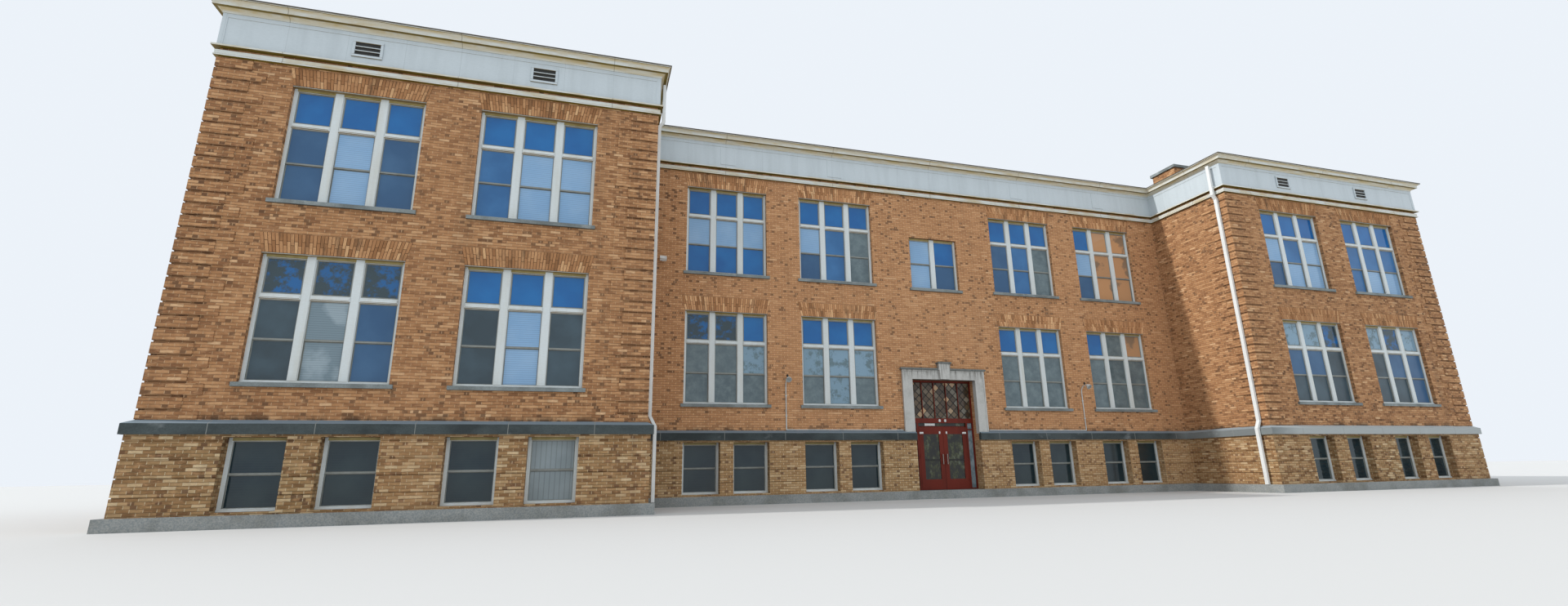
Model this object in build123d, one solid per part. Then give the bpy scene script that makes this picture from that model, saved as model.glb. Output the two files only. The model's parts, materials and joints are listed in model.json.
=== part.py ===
from build123d import *
import os

# A brick apartment building, two storeys over a raised basement, on an H-shaped plan.
# Millimetres. +Z is up, the front faces -Y, and the origin is on the ground at the plan's centre.

os.makedirs("parts", exist_ok=True)

# Plan, on the outer faces of the upper brick walls
wing_width = 9740
wing_depth = 17000
recess = 3140
wall = 400
basement_step = 90

# Levels above the ground
basement_floor_level = 250
belt_top = 2000
belt_height = 210
main_floor_level = 2050
ground_sill = 2840
upper_floor_level = 6050
upper_sill = 6850
brick_top = 10130
roof_level = 10350
floor_thickness = 300
roof_thickness = 300

# Triple windows
window_height = 2790
wing_window_width = 2750
wing_window_margin = 1510
centre_window_width = 2550
corner_pier = 1285
window_pier = 1105
entrance_pier = 802
end_window_pitch = 5000
window_setback = 110
frame_depth = 120
frame_bar = 60
mullion_width = 170
pane = 12

# Small stair window over the entrance, and its twins at the back
small_window_width = 1820
small_window_height = 1810
small_window_sill = 6810

# Basement windows, in pairs under the triple windows
basement_window_width = 1080
basement_window_sill = 300
basement_window_setback = 160
basement_head_gap = 50

# Stone sills and flat brick arches
sill_height = 90
sill_lug = 80
sill_projection = 60
arch_height = 450
arch_splay = 100
arch_depth = 110
arch_proud = 8

# Stone bands round the whole building
belt_projection = 155
belt_wash = 80
plinth_height = 250
plinth_projection = 220

# Moulding on the brick, and the lip under the frieze
moulding_height = 135
moulding_projection = 65
moulding_bead = 15
moulding_bead_height = 30
moulding_gap = 75
lip_height = 40
lip_projection = 130

# Frieze and cornice
frieze_height = 835
frieze_projection = 50
cove_height = 100
cove_root = 15
cove_projection = 205
cove_sag = 35
fillet = 20
crown_height = 110
crown_projection = 275
crown_sag = 22
crown_lip = 20
coping_height = 30
coping_overhang = 12

# Corner bands of the wings, four brick courses each
course = 67.75
band_courses = 4
band_joint = 40
band_proud = 25
short_band = 680
long_band = 980

# Entrance
entrance_half = 1155
entrance_head = 3725
surround_width = 353
surround_head = 365
surround_proud = 60
surround_depth = 120
cap_height = 60
cap_projection = 50
keystone_foot = 340
keystone_top = 420
keystone_rise = 150
keystone_proud = 40
keystone_cap = 50
keystone_cap_overhang = 35
entrance_setback = 280
entrance_frame_depth = 100
entrance_post = 45
sidelight_width = 180
leaf_post = 60
leaf_gap = 6
meeting_gap = 8
sill_gap = 8
leaf_top_level = 2218
leaf_thickness = 45
stile_width = 150
top_rail = 225
bottom_rail = 320
stop_height = 25
strip_height = 120
transom_rail = 150
head_rail = 60
knuckle_radius = 10
knuckle_length = 60
knuckle_flag = 40
knuckle_sides = 8
knuckle_play = 0.3
knuckle_levels = (450, 1230, 1980)
pull_radius = 13
pull_sides = 8
pull_arm = 18
pull_length = 320
pull_level = 1200
pull_standoff = 55

# Entrance hall behind the doors, open up through the main floor
hall_half = 1700
hall_depth = 3000
floor_gap = 10

# Chimney
chimney_side = 1030
chimney_wall = 200
chimney_top = 12280
chimney_cap_height = 110
chimney_cap_overhang = 60
chimney_offset_x = 510
chimney_from_front = 2160

# Rain pipes
pipe_width = 110
pipe_depth = 80
pipe_standoff = 20
pipe_from_corner = 220
pipe_offset_height = 160
strap_bands = (5, 15, 25)
strap_height = 30

# Vents on the frieze
vent_width = 650
vent_height = 450
vent_proud = 25
vent_slots = 3
slot_width = 500
slot_height = 60
slot_pitch = 110

# Wall lamps
lamp_pipe = 30
lamp_height = 1450
lamp_reach = 400
lamp_head = 180
lamp_sides = 8

# Worked out from the sizes above
inner_centre_window = entrance_half + surround_width + entrance_pier + centre_window_width / 2
outer_centre_window = inner_centre_window + centre_window_width + window_pier
centre_half = outer_centre_window + centre_window_width / 2 + corner_pier
half_length = centre_half + wing_width
wing_face = wing_depth / 2
centre_face = wing_face - recess
belt_bottom = belt_top - belt_height
wall_foot = belt_top + belt_wash
lip_bottom = brick_top + moulding_height + moulding_gap
frieze_bottom = lip_bottom + lip_height
frieze_top = frieze_bottom + frieze_height
parapet_top = frieze_top + cove_height + 2 * fillet + crown_height
coping_top = parapet_top + coping_height
pier_centre = (outer_centre_window + inner_centre_window) / 2
band_pitch = course * band_courses
leaf_opening_half = entrance_half - entrance_post - sidelight_width - leaf_post
leaf_width = leaf_opening_half - leaf_gap - meeting_gap / 2
margin = 1


def block(x0, x1, y0, y1, z0, z1):
    """A box between two corners."""
    size = (x1 - x0, y1 - y0, z1 - z0)
    return Pos((x0 + x1) / 2, (y0 + y1) / 2, (z0 + z1) / 2) * Box(*size)


def mirrored_block(side, x0, x1, y0, y1, z0, z1):
    """A box between two distances from the entrance's centre line, on one side of it."""
    low, high = sorted((side * x0, side * x1))
    return block(low, high, y0, y1, z0, z1)


def cut(solid, tools):
    """The solid less all the tools, in one step."""
    return solid - list(tools) if tools else solid


def save(name, solids):
    """Write one node: a single solid, or like solids that don't touch."""
    flat = [s for shape in solids for s in shape.solids()]
    export_step(flat[0] if len(flat) == 1 else Compound(children=flat), f"parts/{name}.step")


class Run:
    """One straight wall seen from outside: u runs to the right, y goes inwards, z is up."""

    def __init__(self, start, heading, length):
        self.place = Plane(origin=(*start, 0), x_dir=(*heading, 0), z_dir=(0, 0, 1)).location
        self.length = length

    def block(self, u0, u1, y0, y1, z0, z1):
        return self.place * block(u0, u1, y0, y1, z0, z1)


left_front = Run((-half_length, -wing_face), (1, 0), wing_width)
right_front = Run((centre_half, -wing_face), (1, 0), wing_width)
centre_front = Run((-centre_half, -centre_face), (1, 0), 2 * centre_half)
left_rear = Run((-centre_half, wing_face), (-1, 0), wing_width)
right_rear = Run((half_length, wing_face), (-1, 0), wing_width)
centre_rear = Run((centre_half, centre_face), (-1, 0), 2 * centre_half)
left_end = Run((-half_length, wing_face), (0, -1), wing_depth)
right_end = Run((half_length, -wing_face), (0, 1), wing_depth)
# The side walls of the recesses run from the wing's corner inwards, or back out to it.
left_front_return = Run((-centre_half, -wing_face), (0, 1), recess)
right_front_return = Run((centre_half, -centre_face), (0, -1), recess)
left_rear_return = Run((-centre_half, centre_face), (0, 1), recess)
right_rear_return = Run((centre_half, wing_face), (0, -1), recess)


class Window:
    """One window opening in a run, by its middle, width, sill and head."""

    def __init__(self, run, middle, width, sill, head, lights=3, setback=window_setback):
        self.run, self.middle, self.width, self.sill, self.head = run, middle, width, sill, head
        self.lights, self.setback = lights, setback
        self.u0, self.u1 = middle - width / 2, middle + width / 2

    def hole(self):
        return self.run.block(self.u0, self.u1, -basement_step - margin, wall + margin,
                              self.sill, self.head)

    def frame(self):
        """The fixed frame with its mullions, as one solid."""
        y0, y1 = self.setback, self.setback + frame_depth
        body = self.run.block(self.u0, self.u1, y0, y1, self.sill, self.head)
        clear = self.width - 2 * frame_bar - (self.lights - 1) * mullion_width
        light = clear / self.lights
        lights = []
        for column in range(self.lights):
            u = self.u0 + frame_bar + column * (light + mullion_width)
            lights.append(self.run.block(u, u + light, y0 - margin, y1 + margin,
                                         self.sill + frame_bar, self.head - frame_bar))
        return cut(body, lights)

    def glass(self):
        y0 = self.setback + frame_depth
        return self.run.block(self.u0, self.u1, y0, y0 + pane, self.sill, self.head)

    def sill_stone(self):
        """A stone sill under the opening, with lugs built into the wall."""
        return self.run.block(self.u0 - sill_lug, self.u1 + sill_lug, -sill_projection,
                              self.setback + frame_depth, self.sill - sill_height, self.sill)

    def arch(self):
        """A flat arch of splayed bricks over the opening, set into the wall."""
        foot, top = self.width / 2, self.width / 2 + arch_splay
        shape = Polyline((-foot, 0), (foot, 0), (top, arch_height), (-top, arch_height), close=True)
        solid = extrude(Plane.XZ * make_face(shape), -(arch_depth + arch_proud))
        return self.run.place * Pos(self.middle, -arch_proud, self.head) * solid


def triples(run, middles, width, sill):
    return [Window(run, middle, width, sill, sill + window_height) for middle in middles]


def pairs(run, middles, width):
    """Two basement windows under each triple window, in line with its outer edges."""
    reach = (width - basement_window_width) / 2
    head = belt_bottom - basement_head_gap
    return [Window(run, middle + side * reach, basement_window_width, basement_window_sill, head,
                   lights=1, setback=basement_window_setback)
            for middle in middles for side in (-1, 1)]


wing_middles = [wing_window_margin + wing_window_width / 2,
                wing_width - wing_window_margin - wing_window_width / 2]
end_middles = [wing_depth / 2 + step * end_window_pitch for step in (-1, 0, 1)]
centre_middles = [centre_half + side for side in
                  (-outer_centre_window, -inner_centre_window, inner_centre_window, outer_centre_window)]

wing_runs = (left_front, right_front, left_rear, right_rear)
window_rows = [(run, wing_middles, wing_window_width) for run in wing_runs]
window_rows += [(run, end_middles, wing_window_width) for run in (left_end, right_end)]
window_rows += [(run, centre_middles, centre_window_width) for run in (centre_front, centre_rear)]

ground_windows, upper_windows, basement_windows = [], [], []
for run, middles, width in window_rows:
    ground_windows += triples(run, middles, width, ground_sill)
    upper_windows += triples(run, middles, width, upper_sill)
    basement_windows += pairs(run, middles, width)

stair_windows = [Window(run, centre_half, small_window_width, sill, sill + small_window_height, lights=2)
                 for run, sill in ((centre_front, small_window_sill), (centre_rear, small_window_sill),
                                   (centre_rear, ground_sill))]
basement_windows.append(Window(centre_rear, centre_half, basement_window_width, basement_window_sill,
                               belt_bottom - basement_head_gap, lights=1,
                               setback=basement_window_setback))
upper_level_windows = ground_windows + upper_windows + stair_windows


def entrance_stones():
    """The stone surround as two jambs, a lintel with its cap, and a keystone with its own cap."""
    y0, y1 = -centre_face - surround_proud, -centre_face + surround_depth
    outer = entrance_half + surround_width
    top = entrance_head + surround_head
    jambs = [mirrored_block(side, entrance_half, outer, y0, y1, belt_top, entrance_head)
             for side in (-1, 1)]
    lintel = block(-outer, outer, y0, y1, entrance_head, top)
    lintel += block(-outer - cap_projection, outer + cap_projection, y0 - cap_projection,
                    -centre_face, top - cap_height, top)
    foot, wide = keystone_foot / 2, keystone_top / 2
    height = surround_head + keystone_rise
    shape = Polyline((-foot, 0), (foot, 0), (wide, height), (-wide, height), close=True)
    deep = surround_proud + cap_projection + keystone_proud
    keystone = Pos(0, -centre_face - deep, entrance_head) * extrude(Plane.XZ * make_face(shape), -deep)
    keystone += block(-wide - keystone_cap_overhang, wide + keystone_cap_overhang,
                      -centre_face - deep - keystone_cap_overhang, -centre_face,
                      entrance_head + height, entrance_head + height + keystone_cap)
    keystone -= block(-wide, wide, y0, 0, entrance_head - margin, top)
    return jambs, lintel - keystone, keystone


jambs, lintel, keystone = entrance_stones()


def upper_wall(run, u0, u1, z0=belt_bottom):
    """A plate of upper wall, less the openings, sills and arches that lie in it."""
    tools = [jambs[0], jambs[1], lintel] if run is centre_front else []
    for window in upper_level_windows:
        if window.run is run and u0 <= window.middle <= u1:
            tools += [window.hole(), window.sill_stone()]
            if window.lights == 3:
                tools.append(window.arch())
    return cut(run.block(u0, u1, 0, wall, z0, parapet_top), tools)


def basement_wall(run, u0, u1):
    """A plate of basement wall with its windows."""
    tools = [window.hole() for window in basement_windows
             if window.run is run and u0 <= window.middle <= u1]
    return cut(run.block(u0, u1, -basement_step, wall, 0, belt_bottom), tools)


def outline(offset):
    """The H-shaped plan, moved outwards by the offset."""
    a, b = half_length + offset, centre_half - offset
    c, d = wing_face + offset, centre_face + offset
    return [(-a, -c), (-b, -c), (-b, -d), (b, -d), (b, -c), (a, -c),
            (a, c), (b, c), (b, d), (-b, d), (-b, c), (-a, c)]


def plate(offset, z0, z1):
    return Pos(0, 0, z0) * extrude(make_face(Polyline(*outline(offset), close=True)), z1 - z0)


def band(outer, inner, z0, z1):
    """A plain band round the building between two offsets from the brick face."""
    return plate(outer, z0, z1) - plate(inner, z0 - margin, z1 + margin)


def moulding(profile, projection, level, height):
    """A profile of projection and height, run round the building at a level with mitred corners."""
    face = make_face(profile)
    inner, outer = outline(0), outline(projection + margin)
    lengths = []
    for near in range(len(inner)):
        far = (near + 1) % len(inner)
        start, end = Vector(*inner[near]), Vector(*inner[far])
        along = (end - start).normalized()
        outwards = Vector(along.Y, -along.X)
        section = Plane(origin=(start + end) / 2 + Vector(0, 0, level), x_dir=outwards, z_dir=-along)
        length = extrude(section * face, (end - start).length / 2 + projection + margin, both=True)
        sector = Polyline(inner[near], inner[far], outer[far], outer[near], close=True)
        mitres = Pos(0, 0, level - margin) * extrude(make_face(sector), height + 2 * margin)
        lengths.append(length & mitres)
    return lengths[0] + lengths[1:]


def belt_profile():
    """A plain stone face with a steep wash up to the wall."""
    return Polyline((0, 0), (belt_projection, 0), (belt_projection, belt_height),
                    (0, belt_height + belt_wash), close=True)


def lower_profile():
    """A flat band on a bead that stands a little prouder."""
    face, bead = moulding_projection, moulding_projection + moulding_bead
    return Polyline((0, 0), (bead, 0), (bead, moulding_bead_height),
                    (face, moulding_bead_height + moulding_bead), (face, moulding_height),
                    (0, moulding_height), close=True)


def cornice_profile():
    """Two coves, each under a fillet, on the frieze."""
    root = frieze_projection + cove_root
    shelf = cove_height + fillet
    crown_foot, crown_top = cove_projection + fillet, shelf + crown_height
    top = crown_top + fillet
    return [Line((0, 0), (root, 0)),
            SagittaArc((root, 0), (cove_projection, cove_height), cove_sag),
            Polyline((cove_projection, cove_height), (crown_foot, cove_height), (crown_foot, shelf)),
            SagittaArc((crown_foot, shelf), (crown_projection, crown_top), crown_sag),
            Polyline((crown_projection, crown_top), (crown_projection + crown_lip, crown_top),
                     (crown_projection + crown_lip, top), (0, top), (0, 0))]


def floor_slabs(top, thickness, hall=False):
    """A floor in three slabs, wing, middle and wing, that bear on the walls round them."""
    z0, inner = top - thickness, half_length - wall
    edge, front = centre_half + wall, centre_face - wall
    wing_front = wing_face - wall
    slabs = [block(-inner, -edge, -wing_front, wing_front, z0, top),
             block(edge, inner, -wing_front, wing_front, z0, top)]
    edge -= floor_gap
    if not hall:
        return slabs + [block(-edge, edge, -front, front, z0, top)]
    back_of_hall = -front + hall_depth
    slabs += [block(-edge, -hall_half, -front, front, z0, top),
              block(hall_half, edge, -front, front, z0, top),
              block(-hall_half + floor_gap, hall_half - floor_gap, back_of_hall, front, z0, top)]
    return slabs


def corner_bands(x, y, side_x, side_y):
    """The brick bands of one wing corner: L-shaped, long and short in turn, up from the belt."""
    bands = []
    for number in range(int((brick_top - belt_top) / band_pitch)):
        top = belt_top + (number + 1) * band_pitch - band_joint / 2
        foot = max(top + band_joint - band_pitch, wall_foot)
        arm = short_band if number % 2 else long_band
        # A band covers the corner from outside: side_x and side_y point inwards along the walls.
        outer_x, outer_y = x - side_x * band_proud, y - side_y * band_proud
        points = [(outer_x, outer_y), (x + side_x * arm, outer_y), (x + side_x * arm, y),
                  (x, y), (x, y + side_y * arm), (outer_x, y + side_y * arm)]
        face = make_face(Polyline(*points, close=True))
        bands.append(Pos(0, 0, foot) * extrude(face, top - foot))
    return bands


def wing_bands(side):
    """The bands at the four corners of the wing on one side of the building."""
    bands = []
    for y, side_y in ((-wing_face, 1), (wing_face, -1)):
        bands += corner_bands(side * half_length, y, -side, side_y)
        bands += corner_bands(side * centre_half, y, side, side_y)
    return bands


save("left_wing_front_wall", [upper_wall(left_front, 0, wing_width)])
save("right_wing_front_wall", [upper_wall(right_front, 0, wing_width)])
save("left_wing_rear_wall", [upper_wall(left_rear, 0, wing_width)])
save("right_wing_rear_wall", [upper_wall(right_rear, 0, wing_width)])
save("left_wing_end_wall", [upper_wall(left_end, wall, wing_depth - wall)])
save("right_wing_end_wall", [upper_wall(right_end, wall, wing_depth - wall)])
save("left_wing_side_walls", [upper_wall(left_front_return, wall, recess + wall),
                              upper_wall(left_rear_return, -wall, recess - wall)])
save("right_wing_side_walls", [upper_wall(right_front_return, -wall, recess - wall),
                               upper_wall(right_rear_return, wall, recess + wall)])
save("centre_front_wall_left", [upper_wall(centre_front, 0, centre_half - entrance_half)])
save("centre_front_wall_right",
     [upper_wall(centre_front, centre_half + entrance_half, 2 * centre_half)])
save("wall_over_entrance",
     [upper_wall(centre_front, centre_half - entrance_half, centre_half + entrance_half, entrance_head)])
save("centre_rear_wall", [upper_wall(centre_rear, 0, 2 * centre_half)])

step = basement_step
save("basement_front_walls",
     [basement_wall(left_front, -step, wing_width + step),
      basement_wall(right_front, -step, wing_width + step),
      basement_wall(centre_front, step, centre_half - entrance_half),
      basement_wall(centre_front, centre_half + entrance_half, 2 * centre_half - step)])
save("basement_rear_walls",
     [basement_wall(left_rear, -step, wing_width + step),
      basement_wall(right_rear, -step, wing_width + step),
      basement_wall(centre_rear, step, 2 * centre_half - step)])
save("basement_end_walls", [basement_wall(run, wall, wing_depth - wall) for run in (left_end, right_end)])
save("basement_side_walls",
     [basement_wall(left_front_return, wall, recess + wall),
      basement_wall(left_rear_return, -wall, recess - wall),
      basement_wall(right_front_return, -wall, recess - wall),
      basement_wall(right_rear_return, wall, recess + wall)])

save("basement_floor", floor_slabs(basement_floor_level, basement_floor_level))
save("main_floor", floor_slabs(main_floor_level, floor_thickness, hall=True))
save("upper_floor", floor_slabs(upper_floor_level, floor_thickness))
save("roof_deck", floor_slabs(roof_level, roof_thickness))

reach = plinth_projection + margin
doorway = block(-entrance_half, entrance_half, -centre_face - reach, -centre_face + wall, 0, entrance_head)
save("plinth", [band(plinth_projection, basement_step, 0, plinth_height) - doorway])
save("belt_course", [moulding(belt_profile(), belt_projection, belt_bottom, belt_height + belt_wash)
                     - [doorway, *jambs]])
save("lower_moulding", [moulding(lower_profile(), moulding_projection + moulding_bead, brick_top,
                                 moulding_height),
                        band(lip_projection, 0, lip_bottom, frieze_bottom)])
save("frieze", [band(frieze_projection, 0, frieze_bottom, frieze_top)])
save("cornice", [moulding(cornice_profile(), crown_projection + crown_lip, frieze_top,
                          parapet_top - frieze_top)])
save("parapet_coping", [band(crown_projection + crown_lip + coping_overhang, -wall - coping_overhang,
                             parapet_top, coping_top)])

save("left_wing_corner_bands", wing_bands(-1))
save("right_wing_corner_bands", wing_bands(1))

save("ground_window_frames", [w.frame() for w in ground_windows])
save("upper_window_frames", [w.frame() for w in upper_windows])
save("stair_window_frames", [w.frame() for w in stair_windows])
save("basement_window_frames", [w.frame() for w in basement_windows])
save("ground_window_glass", [w.glass() for w in ground_windows])
save("upper_window_glass", [w.glass() for w in upper_windows])
save("stair_window_glass", [w.glass() for w in stair_windows])
save("basement_window_glass", [w.glass() for w in basement_windows])
save("ground_window_sills", [w.sill_stone() for w in ground_windows])
save("upper_window_sills", [w.sill_stone() for w in upper_windows])
save("stair_window_sills", [w.sill_stone() for w in stair_windows])
save("ground_flat_arches", [w.arch() for w in ground_windows])
save("upper_flat_arches", [w.arch() for w in upper_windows])

save("entrance_jambs", jambs)
save("entrance_lintel", [lintel])
save("entrance_keystone", [keystone])
save("doorstep", [block(-entrance_half, entrance_half, -centre_face - plinth_projection,
                        -centre_face + wall, 0, basement_floor_level)])

frame_y = -centre_face + entrance_setback
frame_back = frame_y + entrance_frame_depth
axis_x = leaf_opening_half - leaf_gap / 2
axis_y = frame_y - knuckle_radius
stop_bottom = leaf_top_level + sill_gap
strip_bottom = stop_bottom + stop_height
strip_top = stop_bottom + strip_height
transom_top = strip_top + transom_rail


def knuckle(side, z0, reach_x):
    """One hinge knuckle on the door's axis, with its flag towards the leaf or the post."""
    section = Pos(side * axis_x, axis_y, z0) * RegularPolygon(knuckle_radius, knuckle_sides)
    flag = mirrored_block(side, axis_x, reach_x, axis_y, frame_y, z0, z0 + knuckle_length)
    return extrude(section, knuckle_length) + flag


def entrance_screen():
    """The wooden screen of the entrance: posts, transom, head and its hinge knuckles, as one solid."""
    body = block(-entrance_half, entrance_half, frame_y, frame_back, basement_floor_level, entrance_head)
    y0, y1 = frame_y - margin, frame_back + margin
    holes = [block(-leaf_opening_half, leaf_opening_half, y0, y1, basement_floor_level - margin, strip_top),
             block(-entrance_half + entrance_post, entrance_half - entrance_post, y0, y1,
                   transom_top, entrance_head - head_rail)]
    for side in (-1, 1):
        holes.append(mirrored_block(side, leaf_opening_half + leaf_post, entrance_half - entrance_post,
                                    y0, y1, basement_floor_level + entrance_post, strip_top))
    screen = cut(body, holes)
    screen += block(-leaf_opening_half, leaf_opening_half, frame_y + leaf_thickness + leaf_gap,
                    frame_back, stop_bottom, strip_bottom)
    for side in (-1, 1):
        for level in knuckle_levels:
            screen += knuckle(side, level, leaf_opening_half + knuckle_flag)
    return screen


def leaf(side):
    """One door leaf: stiles and rails in one piece, with its hinge knuckles."""
    near, far = meeting_gap / 2, meeting_gap / 2 + leaf_width
    z0 = basement_floor_level + sill_gap
    body = mirrored_block(side, near, far, frame_y, frame_y + leaf_thickness, z0, leaf_top_level)
    body -= mirrored_block(side, near + stile_width, far - stile_width, frame_y - margin,
                           frame_y + leaf_thickness + margin, z0 + bottom_rail, leaf_top_level - top_rail)
    for level in knuckle_levels:
        body += knuckle(side, level + knuckle_length + knuckle_play,
                        leaf_opening_half - leaf_gap - knuckle_flag)
    return body


def leaf_pane(side):
    y0 = frame_y + (leaf_thickness - pane) / 2
    return mirrored_block(side, meeting_gap / 2 + stile_width, meeting_gap / 2 + leaf_width - stile_width,
                          y0, y0 + pane, basement_floor_level + sill_gap + bottom_rail,
                          leaf_top_level - top_rail)


def pull(side):
    """An upright pull handle on two square arms, on the stile where the leaves meet."""
    x = side * (meeting_gap / 2 + stile_width / 2)
    y = frame_y - pull_standoff
    section = Pos(x, y, pull_level - pull_length / 2) * RegularPolygon(pull_radius, pull_sides)
    bar = extrude(section, pull_length)
    for end in (-1, 1):
        z = pull_level + end * (pull_length / 2 - 2 * pull_arm)
        bar += block(x - pull_arm / 2, x + pull_arm / 2, y, frame_y, z - pull_arm / 2, z + pull_arm / 2)
    return bar


def entrance_panes():
    """The glass of the screen: transom light, strip over the leaves, and two sidelights."""
    y0 = frame_y + entrance_frame_depth / 2
    panes = [block(-entrance_half + entrance_post, entrance_half - entrance_post, y0, y0 + pane,
                   transom_top, entrance_head - head_rail),
             block(-leaf_opening_half, leaf_opening_half, y0, y0 + pane, strip_bottom, strip_top)]
    return panes + [mirrored_block(side, leaf_opening_half + leaf_post, entrance_half - entrance_post,
                                   y0, y0 + pane, basement_floor_level + entrance_post, strip_top)
                    for side in (-1, 1)]


save("entrance_frame", [entrance_screen()])
save("entrance_glass", entrance_panes())
for side, word in ((-1, "left"), (1, "right")):
    save(f"{word}_door_leaf", [leaf(side)])
    save(f"{word}_door_glass", [leaf_pane(side)])
    save(f"{word}_door_pull", [pull(side)])


def chimney():
    """The brick stack on the right wing, open at the top, and its stone cap."""
    x0 = centre_half + chimney_offset_x
    y0 = -wing_face + chimney_from_front
    x1, y1 = x0 + chimney_side, y0 + chimney_side
    t, over = chimney_wall, chimney_cap_overhang
    body_top = chimney_top - chimney_cap_height
    flue = block(x0 + t, x1 - t, y0 + t, y1 - t, roof_level + floor_thickness, chimney_top + margin)
    stack = block(x0, x1, y0, y1, roof_level, body_top) - flue
    cap = block(x0 - over, x1 + over, y0 - over, y1 + over, body_top, chimney_top) - flue
    return stack, cap


stack, stack_cap = chimney()
save("chimney_stack", [stack])
save("chimney_cap", [stack_cap])


def downpipe(side):
    """A rain pipe down the side wall of a recess: off the frieze, on the wall, and round the belt."""
    on_frieze = lip_projection + pipe_standoff
    on_wall = band_proud + pipe_standoff
    on_belt = belt_projection + pipe_standoff
    top_offset = brick_top - pipe_standoff
    low_offset = wall_foot + pipe_offset_height
    route = [(on_frieze, frieze_top), (on_frieze, top_offset), (on_wall, top_offset - pipe_offset_height),
             (on_wall, low_offset), (on_belt, wall_foot - belt_wash), (on_belt, plinth_height)]
    outer = [(out + pipe_depth, level) for out, level in reversed(route)]
    shape = Plane.XZ * make_face(Polyline(*route, *outer, close=True))
    pipe = extrude(shape, -pipe_width)
    for number in strap_bands:
        level = belt_top + (number + 0.5) * band_pitch
        pipe += block(band_proud, on_wall, 0, pipe_width, level, level + strap_height)
    pipe += block(frieze_projection, on_frieze, 0, pipe_width, frieze_bottom + strap_height,
                  frieze_bottom + 2 * strap_height)
    # The profile looks out along +X, and the wall that carries the right pipe faces -X.
    left = Pos(-centre_half, -wing_face + pipe_from_corner, 0) * pipe
    return left if side < 0 else mirror(left, Plane.YZ)


save("left_downpipe", [downpipe(-1)])
save("right_downpipe", [downpipe(1)])


def vent(run, middle):
    """A louvred vent on the frieze: a plain plate with level slots through it."""
    centre = frieze_bottom + frieze_height / 2
    y0, y1 = -frieze_projection - vent_proud, -frieze_projection
    body = run.block(middle - vent_width / 2, middle + vent_width / 2, y0, y1,
                     centre - vent_height / 2, centre + vent_height / 2)
    slots = []
    for number in range(vent_slots):
        z = centre + (number - (vent_slots - 1) / 2) * slot_pitch - slot_height / 2
        slots.append(run.block(middle - slot_width / 2, middle + slot_width / 2, y0 - margin, y1 + margin,
                               z, z + slot_height))
    return cut(body, slots)


save("frieze_vents", [vent(run, middle) for run in wing_runs for middle in wing_middles])


def wall_lamp(x):
    """A lamp on an upright conduit that leans out from the wall at its top."""
    y1 = -centre_face
    y0 = y1 - lamp_pipe
    z1 = belt_top + lamp_height
    lamp = block(x - lamp_pipe / 2, x + lamp_pipe / 2, y0, y1, wall_foot, z1)
    lamp += block(x - lamp_pipe / 2, x + lamp_pipe / 2, y1 - lamp_reach, y0, z1 - lamp_pipe, z1)
    rim = Pos(x, y1 - lamp_reach, z1 - lamp_head) * RegularPolygon(lamp_head / 2, lamp_sides)
    crown = Pos(x, y1 - lamp_reach, z1) * RegularPolygon(lamp_head / 4, lamp_sides)
    return lamp + loft([rim, crown], ruled=True)


save("wall_lamps", [wall_lamp(x) for x in (-pier_centre, pier_centre)])
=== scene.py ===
"""The looks of the brick apartment building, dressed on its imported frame. Lengths are in metres."""
import json
import math
import random
from functools import partialmethod

import bmesh
import bpy
from mathutils import Matrix, Vector


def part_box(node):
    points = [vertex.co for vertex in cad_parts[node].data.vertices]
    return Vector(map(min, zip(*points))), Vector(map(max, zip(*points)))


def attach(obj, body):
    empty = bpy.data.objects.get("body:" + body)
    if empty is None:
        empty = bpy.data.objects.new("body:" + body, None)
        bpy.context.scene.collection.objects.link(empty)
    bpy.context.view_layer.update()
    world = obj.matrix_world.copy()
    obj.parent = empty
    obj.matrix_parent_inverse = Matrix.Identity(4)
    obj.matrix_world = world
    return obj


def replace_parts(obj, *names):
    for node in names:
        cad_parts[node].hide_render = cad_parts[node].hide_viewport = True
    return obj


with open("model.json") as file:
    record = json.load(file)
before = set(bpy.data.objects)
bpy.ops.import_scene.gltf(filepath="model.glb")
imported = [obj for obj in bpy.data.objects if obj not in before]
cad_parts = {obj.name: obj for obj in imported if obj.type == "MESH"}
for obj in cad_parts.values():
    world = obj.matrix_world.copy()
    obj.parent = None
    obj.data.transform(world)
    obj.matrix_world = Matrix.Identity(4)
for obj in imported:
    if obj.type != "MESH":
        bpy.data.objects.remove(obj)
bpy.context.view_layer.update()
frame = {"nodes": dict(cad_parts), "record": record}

# Places read from the frame
wing_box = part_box("right_wing_front_wall")
frieze_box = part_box("frieze")
belt_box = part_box("belt_course")
keystone_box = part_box("entrance_keystone")
half_length = wing_box[1].x
centre_half = wing_box[0].x
wing_face = -wing_box[0].y
centre_face = -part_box("centre_front_wall_left")[0].y
wall = wing_box[1].y - wing_box[0].y
belt_bottom, belt_top = belt_box[0].z, belt_box[1].z
frieze_bottom, frieze_top = frieze_box[0].z, frieze_box[1].z
frieze_out = frieze_box[1].x - half_length
basement_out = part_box("basement_end_walls")[1].x - half_length
plinth_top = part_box("plinth")[1].z
roof_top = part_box("roof_deck")[1].z
lintel_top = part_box("entrance_lintel")[1].z

# Brickwork, the same courses as the corner bands
course = 0.06775
brick_length = 0.213
joint = 0.011
bands_foot = 2.0
band_pitch = 0.271
band_joint = 0.04
short_band = 0.68

# Distance between the leads of the transom light, measured level
lead_pitch = 0.25

# A face looks along an axis where its normal has more than this share of it
squarely = 0.7

chance = random.Random(1907)


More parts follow.
